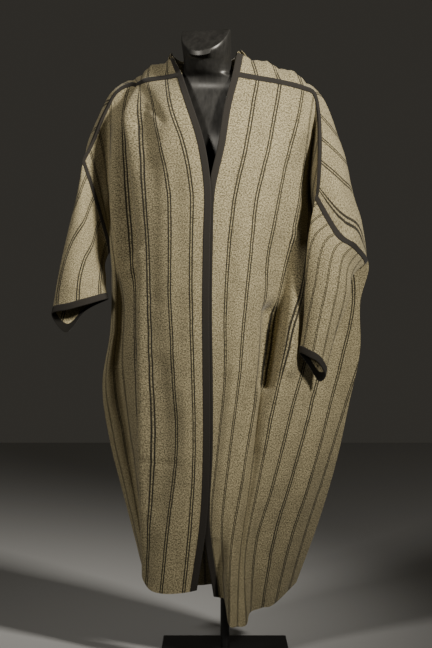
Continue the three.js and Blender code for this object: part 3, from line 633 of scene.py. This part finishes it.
def shell(name, grid, normal, u, v, material, side, inner, outer, closed=False, hole=None):
    """A closed wall on a grid, but for the cells in its hole (rows, first and last column).
    inner and outer are distances along the normals, one for all points or one for each."""
    rows, columns = grid.shape[:2]
    keep = columns - 1 if closed else columns
    inner = np.broadcast_to(inner, (rows, columns))[..., None]
    outer = np.broadcast_to(outer, (rows, columns))[..., None]
    layers = [grid + normal * outer, grid + normal * inner]
    vertices = np.concatenate([layer[:, :keep].reshape(-1, 3) for layer in layers])
    count = rows * keep
    r, c = np.meshgrid(np.arange(rows - 1), np.arange(columns - 1), indexing="ij")
    cloth = np.ones(r.shape, bool)
    if hole:
        cloth[: hole[0], hole[1] : hole[2]] = False
    r, c = r[cloth], c[cloth]
    corners = [(r, c), (r + 1, c), (r + 1, c + 1), (r, c + 1)]
    if side < 0:
        corners = corners[::-1]
    index = np.stack([a * keep + b % keep for a, b in corners], axis=1)
    place = np.stack([np.stack([u[a, b], v[a, b]], axis=1) for a, b in corners], axis=1)
    start, end = index.ravel(), np.roll(index, -1, axis=1).ravel()
    free = ~np.isin(end.astype(np.int64) * count + start, start.astype(np.int64) * count + end)
    start, end = start[free], end[free]
    from_place = place.reshape(-1, 2)[free]
    to_place = np.roll(place, -1, axis=1).reshape(-1, 2)[free]
    rim = np.stack([end, start, count + start, count + end], axis=1)
    rim_place = np.stack([to_place, from_place, from_place, to_place], axis=1)
    faces = np.concatenate([index, count + index[:, ::-1], rim])
    uvs = np.concatenate([place, place[:, ::-1], rim_place])
    used, faces = np.unique(faces, return_inverse=True)
    return add_mesh(name, vertices[used], faces.reshape(-1, 4), uvs.reshape(-1, 2), material)


# ------------------------------------------------------------------ materials
WOOL_DARK = (0.040, 0.033, 0.018)
WOOL_MID = (0.20, 0.166, 0.088)
WOOL_LIGHT = (0.52, 0.452, 0.275)
STRIPE_DARK = (0.012, 0.011, 0.009)
MID_SHARE = 0.22

# Noises: scale a metre, detail and roughness.
WOOL_NOISES = {
    "fleck": (290, 5.0, 0.85),
    "yarn": (900, 2.0, 0.6),
    "cloud": (26, 3.0, 0.6),
    "drift": (14, 1.0, 0.5),
    "gaps": (130, 2.0, 0.6),
}
BRAID_NOISE = (500, 2.0, 0.6)
STREAK_NOISE = (85, 4.0, 0.65)

# What a noise is multiplied by, and what is added to it.
GRAIN = (7.0, -3.0)
CLOUD_TONE = (0.5, 0.75)
STRIPE_WEAR = (-1.2, 2.3)
STREAK_ROUGHNESS = (0.30, 0.25)

# Stripes: from pair to pair, from a pair's middle to a line's, half a line's width with its
# soft edge, the soft edge alone, and how far a line wanders.
STRIPE = {"pitch": 57.0, "apart": 3.1, "half": 2.2, "soft": 0.9, "wander": 3.0}
STRIPE_STRENGTH = 0.93

WOOL_FINISH = {
    "Roughness": 0.95, "Specular IOR Level": 0.12, "Sheen Weight": 0.12, "Sheen Roughness": 0.5,
}
WOOL_RELIEF = {"Strength": 0.4, "Distance": 0.0010}
FLECK_HEIGHT = 0.7
YARN_HEIGHT = 0.5

BRAID_DARK = (0.010, 0.009, 0.007)
BRAID_LIGHT = (0.036, 0.031, 0.025)
BRAID_RIB = {"Scale": 110, "Distortion": 2.0, "Detail": 2.0}
BRAID_FINISH = {"Roughness": 0.85, "Specular IOR Level": 0.2, "Sheen Weight": 0.1}
BRAID_RELIEF = {"Strength": 0.4, "Distance": 0.0008}
BRAID_FLECK_HEIGHT = 0.8

LACQUER_DARK = (0.016, 0.0155, 0.014)
LACQUER_LIGHT = (0.075, 0.072, 0.065)
LACQUER_METALLIC = 0.55
LACQUER_STRETCH = (1.0, 1.0, 0.16)


def new_material(name):
    """A material with an empty principled shader, and what is needed to add to it."""
    material = bpy.data.materials.new(name)
    material.use_nodes = True
    nodes = material.node_tree.nodes
    nodes.clear()
    output = nodes.new("ShaderNodeOutputMaterial")
    shader = nodes.new("ShaderNodeBsdfPrincipled")
    material.node_tree.links.new(shader.outputs[0], output.inputs["Surface"])
    return material, nodes, material.node_tree.links, shader


def set_inputs(node, values):
    """Give a node's inputs their values by name."""
    for name, value in values.items():
        node.inputs[name].default_value = value


def maths(nodes, links, operation, a, b=None, c=None, clamp=False):
    """The output of a maths node; a, b and c are numbers or other nodes' outputs."""
    node = nodes.new("ShaderNodeMath")
    node.operation = operation
    node.use_clamp = clamp
    for socket, value in zip(node.inputs, (a, b, c)):
        if value is None:
            continue
        if isinstance(value, (int, float)):
            socket.default_value = value
        else:
            links.new(value, socket)
    return node.outputs[0]


def noise(nodes, links, vector, scale, detail, roughness):
    """The output of a noise, from about 0 to 1."""
    node = nodes.new("ShaderNodeTexNoise")
    set_inputs(node, {"Scale": scale, "Detail": detail, "Roughness": roughness})
    links.new(vector, node.inputs["Vector"])
    return node.outputs["Fac"]


def mixed(nodes, links, factor, a, b):
    """The colour a turned into b by the factor."""
    node = nodes.new("ShaderNodeMix")
    node.data_type = "RGBA"
    for socket, value in ((node.inputs[0], factor), (node.inputs[6], a), (node.inputs[7], b)):
        if isinstance(value, (int, float)):
            socket.default_value = value
        elif isinstance(value, tuple):
            socket.default_value = (*value, 1)
        else:
            links.new(value, socket)
    return node.outputs[2]


def cloth_places(nodes):
    """Each point's place on the flat cloth, in metres."""
    uv = nodes.new("ShaderNodeUVMap")
    uv.uv_map = "cloth"
    return uv.outputs[0]


def add_relief(nodes, links, shader, height, values):
    """Bump the shader's surface by a height."""
    bump = nodes.new("ShaderNodeBump")
    set_inputs(bump, values)
    links.new(height, bump.inputs["Height"])
    links.new(bump.outputs[0], shader.inputs["Normal"])


def wool(name, offset, squeeze, bound):
    """Heathered wool with double dark stripes, one pair each pitch, from the offset.
    The pairs are drawn closer together by squeeze. The cloth is dark past its bound, where the
    braid wraps the edge."""
    material, nodes, links, shader = new_material(name)
    calc = partial(maths, nodes, links)
    vector = cloth_places(nodes)
    split = nodes.new("ShaderNodeSeparateXYZ")
    links.new(vector, split.inputs[0])
    fac = {key: noise(nodes, links, vector, *values) for key, values in WOOL_NOISES.items()}

    grain = calc("MULTIPLY_ADD", fac["fleck"], *GRAIN, clamp=True)
    base = mixed(nodes, links, grain, WOOL_DARK, WOOL_LIGHT)
    base = mixed(nodes, links, MID_SHARE, base, WOOL_MID)
    tone = nodes.new("ShaderNodeVectorMath")
    tone.operation = "SCALE"
    links.new(base, tone.inputs[0])
    links.new(calc("MULTIPLY_ADD", fac["cloud"], *CLOUD_TONE), tone.inputs["Scale"])

    pitch, apart, half, soft, wander = (size * MM for size in STRIPE.values())
    drift = calc("MULTIPLY_ADD", fac["drift"], wander, -wander / 2)
    across = calc("ADD", calc("MULTIPLY", split.outputs["X"], squeeze), drift)
    phase = calc("DIVIDE", calc("SUBTRACT", across, offset * MM - pitch / 2), pitch)
    centred = calc("SUBTRACT", calc("FRACT", phase), 0.5)
    away = calc("MULTIPLY", calc("ABSOLUTE", centred), pitch)
    line = calc("ABSOLUTE", calc("SUBTRACT", away, apart))
    solid = calc("DIVIDE", calc("SUBTRACT", half, line), soft, clamp=True)
    worn = calc("MULTIPLY_ADD", calc("ADD", fac["gaps"], fac["fleck"]), *STRIPE_WEAR, clamp=True)
    dark = calc("MULTIPLY", calc("MULTIPLY", solid, worn), STRIPE_STRENGTH)
    if bound:
        along, side, edge = bound
        dark = calc("MAXIMUM", dark, calc(side, split.outputs[along], edge))
    colour = mixed(nodes, links, dark, tone.outputs[0], STRIPE_DARK)
    links.new(colour, shader.inputs["Base Color"])

    set_inputs(shader, WOOL_FINISH)
    fleck_height = calc("MULTIPLY", fac["fleck"], FLECK_HEIGHT)
    height = calc("ADD", fleck_height, calc("MULTIPLY", fac["yarn"], YARN_HEIGHT))
    add_relief(nodes, links, shader, height, WOOL_RELIEF)
    return material


def braid_material():
    """Dark braid with slanted ribs."""
    material, nodes, links, shader = new_material("charcoal_braid")
    vector = cloth_places(nodes)
    rib = nodes.new("ShaderNodeTexWave")
    rib.wave_type = "BANDS"
    rib.bands_direction = "DIAGONAL"
    set_inputs(rib, BRAID_RIB)
    links.new(vector, rib.inputs["Vector"])
    fleck = noise(nodes, links, vector, *BRAID_NOISE)
    links.new(mixed(nodes, links, fleck, BRAID_DARK, BRAID_LIGHT), shader.inputs["Base Color"])
    set_inputs(shader, BRAID_FINISH)
    fleck_height = maths(nodes, links, "MULTIPLY", fleck, BRAID_FLECK_HEIGHT)
    height = maths(nodes, links, "ADD", rib.outputs["Fac"], fleck_height)
    add_relief(nodes, links, shader, height, BRAID_RELIEF)
    return material


def plain_material(name, colour, roughness, metallic=0.0):
    """A material of one colour."""
    material, _, _, shader = new_material(name)
    values = {"Base Color": (*colour, 1), "Roughness": roughness, "Metallic": metallic}
    set_inputs(shader, values)
    return material


def form_material():
    """Dark graphite lacquer, brushed up and down so that its sheen is streaked."""
    material, nodes, links, shader = new_material("graphite_lacquer")
    place = nodes.new("ShaderNodeTexCoord")
    stretch = nodes.new("ShaderNodeMapping")
    stretch.inputs["Scale"].default_value = LACQUER_STRETCH
    links.new(place.outputs["Object"], stretch.inputs["Vector"])
    streak = noise(nodes, links, stretch.outputs[0], *STREAK_NOISE)
    colour = mixed(nodes, links, streak, LACQUER_DARK, LACQUER_LIGHT)
    roughness = maths(nodes, links, "MULTIPLY_ADD", streak, *STREAK_ROUGHNESS)
    links.new(colour, shader.inputs["Base Color"])
    links.new(roughness, shader.inputs["Roughness"])
    shader.inputs["Metallic"].default_value = LACQUER_METALLIC
    return material


charcoal = braid_material()

# ------------------------------------------------------------------ cloth pieces
panels = {
    "front_right": {
        "grid": right, "u": right_u, "v": right_v, "side": -1,
        "offset": 43, "bound": FRONT_BOUND,
    },
    "front_left": {
        "grid": left, "u": left_u, "v": left_v, "side": 1,
        "offset": 3, "bound": FRONT_BOUND,
    },
    "back": {
        "grid": back, "u": back_u, "v": back_v, "side": 1, "offset": 20,
        "hole": (NECK_ROW, LEFT_NECK, RIGHT_NECK),
    },
    "sleeve_right": {
        "grid": right_sleeve, "u": right_sleeve_u, "v": right_sleeve_v, "side": 1,
        "offset": -24, "closed": True, "bound": CUFF_BOUND,
    },
    "sleeve_left": {
        "grid": left_sleeve, "u": left_sleeve_u, "v": left_sleeve_v, "side": -1,
        "offset": 22, "squeeze": 2.0, "closed": True, "bound": CUFF_BOUND,
    },
    "hood": {"grid": hood, "u": hood_u, "v": hood_v, "side": -1, "offset": 0, "bound": HOOD_BOUND},
}
for name, panel in panels.items():
    closed = panel.get("closed", False)
    panel["normal"] = normals_of(panel["grid"], panel["side"], closed)
    piece = shell(
        "cloth_" + name, panel["grid"], panel["normal"], panel["u"], panel["v"],
        wool("wool_" + name, panel["offset"], panel.get("squeeze", 1.0), panel.get("bound")),
        panel["side"], -HALF_CLOTH, HALF_CLOTH, closed, panel.get("hole"),
    )
    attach(piece, "root")
    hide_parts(name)


# ------------------------------------------------------------------ braid
def running_length(line):
    """Length along a line of points, from its first point."""
    return arc_lengths(line[None])[0]


def inward(grid, normal, distances):
    """Points and normals at distances along each line of a grid [line, step]."""
    points = np.zeros((len(grid), len(distances), 3))
    directions = np.zeros_like(points)
    for i, (line, normal_line) in enumerate(zip(grid, normal)):
        arc = running_length(line)
        for axis in range(3):
            points[i, :, axis] = np.interp(distances, arc, line[:, axis])
            directions[i, :, axis] = np.interp(distances, arc, normal_line[:, axis])
    return points, directions / np.linalg.norm(directions, axis=2, keepdims=True)


def braid(name, points, normal, side, closed=False):
    """A length of braid on points [along, across], with softly rounded edges."""
    across = points.shape[1]
    profile = np.ones(across) * BRAID_TOP
    profile[[0, -1]] = BRAID_RIM
    profile[[1, -2]] = BRAID_SHOULDER
    v = np.repeat(running_length(points[:, across // 2])[:, None], across, axis=1)
    u = np.repeat(running_length(points[0])[None, :], len(points), axis=0)
    grid = np.swapaxes(points, 0, 1)
    piece = shell(
        name, grid, np.swapaxes(normal, 0, 1), u.T, v.T, charcoal, side,
        BRAID_FOOT, np.repeat(profile[:, None], len(points), axis=1), closed,
    )
    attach(piece, "root")
    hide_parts(name)
    return piece


def front_braid(name, panel, beside_notch):
    """Braid down a side of the neck's notch and on down the front's edge."""
    neck = [panels["back"][key][NECK_ROW:0:-1, beside_notch] for key in ("grid", "normal")]
    points, normal = inward(
        [*neck[0], *panel["grid"]], [*neck[1], *panel["normal"]], EDGE_STEPS
    )
    return braid(name, points, normal, -panel["side"])


def shoulder_braid(name, front, columns):
    """Half on the front and half on the back, over the seam."""
    below, below_normal = inward(
        np.swapaxes(front["grid"], 0, 1), np.swapaxes(front["normal"], 0, 1), HALF_STEPS
    )
    behind, behind_normal = inward(
        np.swapaxes(panels["back"]["grid"][:, columns], 0, 1),
        np.swapaxes(panels["back"]["normal"][:, columns], 0, 1),
        HALF_STEPS,
    )
    seam = below_normal[:, :1] + behind_normal[:, :1]
    seam /= np.linalg.norm(seam, axis=2, keepdims=True)
    points = np.concatenate([behind[:, :0:-1], below], axis=1)
    normal = np.concatenate([behind_normal[:, :0:-1], seam, below_normal[:, 1:]], axis=1)
    return braid(name, points, normal, front["side"])


def ring_braid(name, panel, from_cuff):
    """Braid round a sleeve's cuff, or else round its armhole."""
    grid = np.swapaxes(panel["grid"], 0, 1)
    normal = np.swapaxes(panel["normal"], 0, 1)
    if from_cuff:
        grid, normal = grid[:, ::-1], normal[:, ::-1]
    points, directions = inward(grid, normal, EDGE_STEPS)
    side = panel["side"] * (-1 if from_cuff else 1)
    return braid(name, points, directions, side, True)


left_back = slice(LEFT_NECK, None, -1)
right_back = slice(RIGHT_NECK, None)
front_braid("braid_front_right", panels["front_right"], right_back)
front_braid("braid_front_left", panels["front_left"], left_back)
shoulder_braid("braid_shoulder_right", panels["front_right"], right_back)
shoulder_braid("braid_shoulder_left", panels["front_left"], left_back)
ring_braid("braid_armhole_right", panels["sleeve_right"], False)
ring_braid("braid_armhole_left", panels["sleeve_left"], False)
ring_braid("braid_cuff_right", panels["sleeve_right"], True)
ring_braid("braid_cuff_left", panels["sleeve_left"], True)
hood_points, hood_normal = inward(
    np.swapaxes(hood, 0, 1)[:, ::-1],
    np.swapaxes(panels["hood"]["normal"], 0, 1)[:, ::-1],
    EDGE_STEPS,
)
braid("braid_hood", hood_points, hood_normal, 1)


# ------------------------------------------------------------------ the dress form
FORM_ANGLES = 2 * math.pi * np.arange(FORM_SIDES) / FORM_SIDES


def form_ring(z, x, y, width, depth):
    """A turned and tilted section of the form."""
    across = width * np.cos(FORM_ANGLES)
    deep = depth * np.sin(FORM_ANGLES)
    return np.stack([
        x + across * math.cos(FORM_TURN) + deep * math.sin(FORM_TURN),
        y - across * math.sin(FORM_TURN) + deep * math.cos(FORM_TURN),
        z - across * FORM_TILT,
    ], axis=1)


def dress_form():
    """The form from its base to the slanted cut of its neck."""
    table = np.array(FORM, float)
    table[:, 3:] -= FORM_INSET
    heights = fine(table[:, 0], FORM_STEP)
    sections = spline(table[:, 0], table, heights)
    rings = [form_ring(*section) for section in sections]
    base = rings[0].mean(axis=0)
    rings[:0] = [base + (rings[0] - base) * share for share in FORM_BASE]
    cut = NECK_CUT
    top = form_ring(0, cut["x"], cut["y"], cut["radius"], cut["radius"])
    fall = cut["radius"] * np.minimum(np.sin(FORM_ANGLES), 0) * cut["slope"]
    for rise, share in NECK_LIP:
        ring = top.copy()
        ring[:, :2] = (cut["x"], cut["y"]) + (top[:, :2] - (cut["x"], cut["y"])) * share
        ring[:, 2] = cut["z"] + rise + fall * share
        rings.append(ring)
    vertices = np.concatenate(rings)
    faces = []
    for ring in range(len(rings) - 1):
        for i in range(FORM_SIDES):
            a = ring * FORM_SIDES + i
            b = ring * FORM_SIDES + (i + 1) % FORM_SIDES
            faces.append((a, b, b + FORM_SIDES, a + FORM_SIDES))
    faces = np.array(faces)
    return add_mesh("dress_form", vertices, faces, None, form_material(), 60)


form = dress_form()
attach(form, "root")
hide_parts("form_torso")


def stand():
    """The base plate and the pole."""
    satin = plain_material("satin_black", (0.02, 0.02, 0.02), 0.42, 0.3)
    bpy.ops.mesh.primitive_cube_add(size=1)
    plate = bpy.context.object
    plate.name = "plate"
    plate.data.transform(plate.matrix_world)
    wide, deep, thick = (size * MM for size in PLATE)
    for vertex in plate.data.vertices:
        x, y, z = vertex.co
        vertex.co = Vector([x * wide, y * deep, (z + 0.5) * thick])
    bevel = plate.modifiers.new("edge", "BEVEL")
    bevel.width = PLATE_BEVEL * MM
    bevel.segments = 3
    bpy.ops.mesh.primitive_cylinder_add(
        vertices=POLE["sides"],
        radius=POLE["radius"] * MM,
        depth=(POLE["top"] - POLE["foot"]) * MM,
        location=(0, 0, (POLE["top"] + POLE["foot"]) / 2 * MM),
    )
    pole = bpy.context.object
    pole.name = "pole"
    for piece, node in ((plate, "form_plate"), (pole, "form_pole")):
        piece.data.materials.clear()
        piece.data.materials.append(satin)
        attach(piece, "root")
        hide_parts(node)
    bpy.ops.object.select_all(action="DESELECT")
    pole.select_set(True)
    bpy.context.view_layer.objects.active = pole
    bpy.ops.object.shade_smooth_by_angle(angle=math.radians(40))


stand()

# ------------------------------------------------------------------ stage, light and camera
FLOOR_SIZE = 14
FLOOR_DROP = 0.0005
ROOM_COLOUR = (0.86, 0.80, 0.68, 1)
ROOM_STRENGTH = 0.04

# Metres, watts and degrees.
LIGHTS = {
    "key": {
        "place": (2.0, -2.25, 2.5), "target": (-0.20, 0, 1.24), "size": 0.40,
        "power": 14, "colour": (1.0, 0.96, 0.89), "spread": 46,
    },
    "fill": {
        "place": (-2.1, -2.8, 2.5), "target": (-0.05, 0, 1.28), "size": 0.7,
        "power": 6.5, "colour": (1.0, 0.96, 0.90), "spread": 56,
    },
}
CAMERA_DISTANCE = 4.0
CAMERA_ACROSS = -0.022
CAMERA_HEIGHT = 0.799
PICTURE_HEIGHT = 1.5876
SENSOR = 36

bpy.ops.mesh.primitive_plane_add(size=FLOOR_SIZE, location=(0, 0, -FLOOR_DROP))
floor = bpy.context.object
floor.name = "floor"
floor.data.materials.append(plain_material("pale_floor", (0.62, 0.62, 0.61), 0.75))

world = bpy.data.worlds.new("studio")
bpy.context.scene.world = world
world.use_nodes = True
background = world.node_tree.nodes["Background"]
set_inputs(background, {"Color": ROOM_COLOUR, "Strength": ROOM_STRENGTH})


def area_light(name, place, target, size, power, colour, spread):
    """A square light at a place, turned to its target."""
    data = bpy.data.lights.new(name, "AREA")
    data.size = size
    data.energy = power
    data.color = colour
    data.spread = math.radians(spread)
    light = bpy.data.objects.new(name, data)
    bpy.context.scene.collection.objects.link(light)
    light.location = place
    light.rotation_euler = (Vector(target) - Vector(place)).to_track_quat("-Z", "Y").to_euler()


for name, values in LIGHTS.items():
    area_light(name, **values)

camera = bpy.data.objects.new("camera", bpy.data.cameras.new("camera"))
bpy.context.scene.collection.objects.link(camera)
camera.location = (CAMERA_ACROSS, -CAMERA_DISTANCE, CAMERA_HEIGHT)
camera.rotation_euler = (math.pi / 2, 0, 0)
camera.data.sensor_width = SENSOR
camera.data.lens = SENSOR * CAMERA_DISTANCE / PICTURE_HEIGHT
camera.data.dof.use_dof = False
bpy.context.scene.camera = camera
